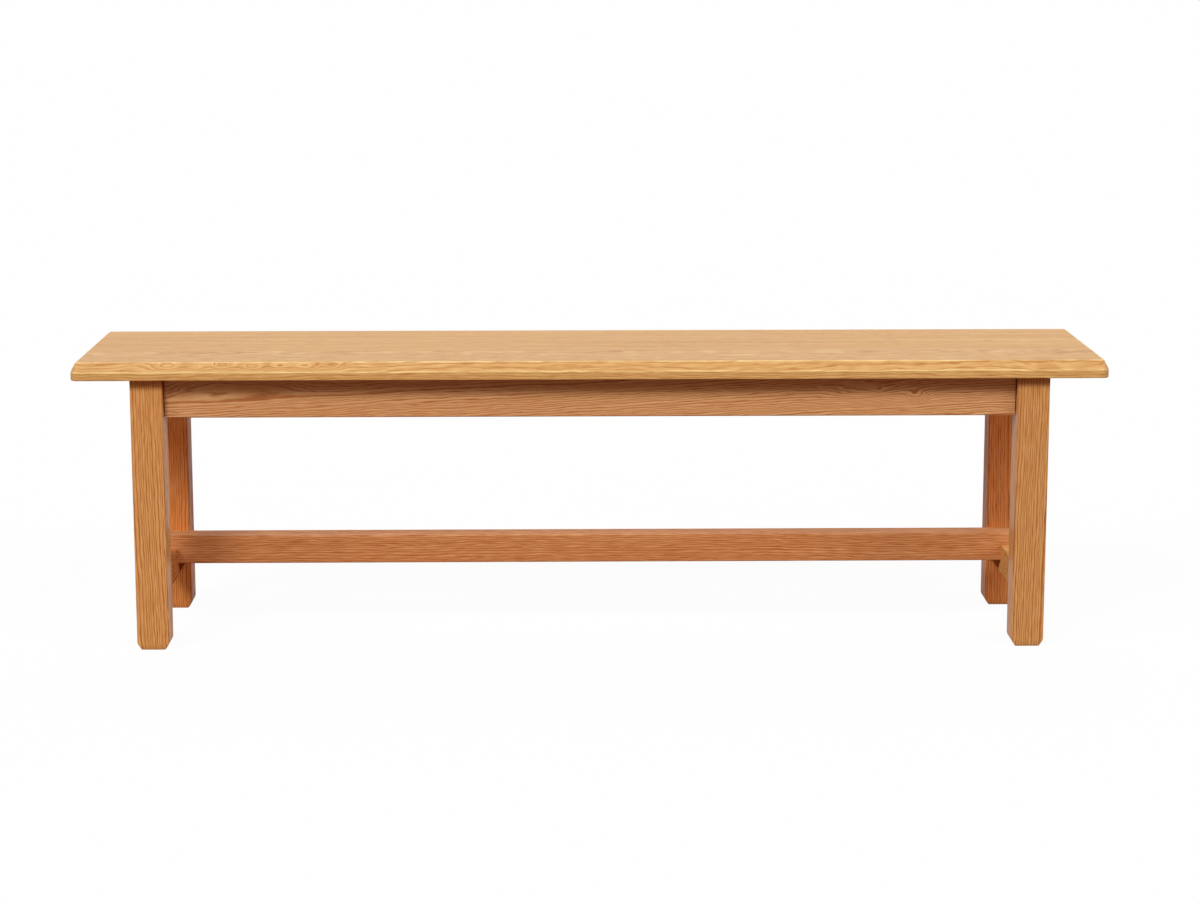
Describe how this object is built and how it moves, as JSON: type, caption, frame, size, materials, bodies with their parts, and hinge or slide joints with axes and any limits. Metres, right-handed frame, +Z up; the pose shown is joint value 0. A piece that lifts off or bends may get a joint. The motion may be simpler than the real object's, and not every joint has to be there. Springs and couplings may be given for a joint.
{
  "type": "dining bench",
  "caption": "Long oak dining bench with a bevelled seat, square legs, slim aprons and a low centre stretcher lapped over the end stretchers.",
  "frame": {"origin": "on the floor, under the middle of the seat", "axes": "+X along the bench to the right as seen from the front, +Y from the front to the rear, +Z up"},
  "size_m": [1.6, 0.36, 0.457],
  "materials": {
    "oak_seat": "satin oiled oak, light honey colour",
    "oak_frame": "satin oiled oak, honey colour",
    "oak_stretcher": "satin oiled oak, warm reddish honey colour",
    "oak_inner": "planed oak, left unpolished",
    "screw_steel": "zinc-plated steel"
  },
  "bodies": {
    "root": {"seat_board_front": "oak_seat", "seat_board_middle": "oak_seat", "seat_board_rear": "oak_seat", "apron_front": "oak_frame", "apron_rear": "oak_frame", "apron_left": "oak_frame", "apron_right": "oak_frame", "leg_front_left": "oak_frame", "leg_front_right": "oak_frame", "leg_rear_left": "oak_frame", "leg_rear_right": "oak_frame", "stretcher_left": "oak_stretcher", "stretcher_right": "oak_stretcher", "stretcher_centre": "oak_stretcher", "seat_bearer": "oak_inner", "seat_buttons": "oak_inner", "seat_tongue_front": "oak_inner", "seat_tongue_rear": "oak_inner", "corner_brace_front_left": "oak_inner", "corner_brace_front_right": "oak_inner", "corner_brace_rear_left": "oak_inner", "corner_brace_rear_right": "oak_inner", "seat_button_screws": "screw_steel", "seat_bearer_screws": "screw_steel", "corner_brace_screws": "screw_steel", "stretcher_lap_screws": "screw_steel"}
  },
  "joints": []
}
